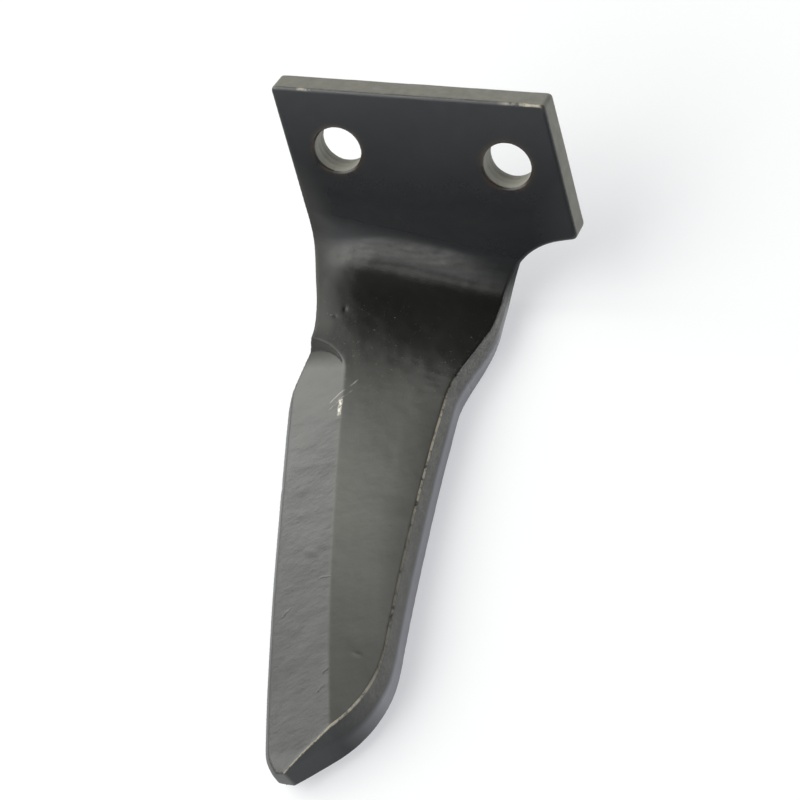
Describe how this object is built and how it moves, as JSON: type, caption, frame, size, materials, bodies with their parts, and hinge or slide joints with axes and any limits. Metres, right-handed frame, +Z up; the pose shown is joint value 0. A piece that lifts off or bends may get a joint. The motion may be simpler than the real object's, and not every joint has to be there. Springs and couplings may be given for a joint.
{
  "type": "power harrow tine",
  "caption": "Forged steel harrow tine: a flat flange punched for two bolts, bent and twisted below it into a tapered blade with a bevelled leading edge and a slanted tip.",
  "frame": {"origin": "on the flange's mounting face, midway between the two bolt holes", "axes": "+Z up, against the way the tine points into the soil; +Y out of the mounting face, towards the rotor's tine holder; +X along the row of bolt holes, to the right when the flange's front is seen from -Y"},
  "size_m": [0.106, 0.1741, 0.1658],
  "materials": {
    "black_paint": "thin satin black paint over forged steel, worn through in places"
  },
  "bodies": {
    "root": {"tine": "black_paint"}
  },
  "joints": []
}
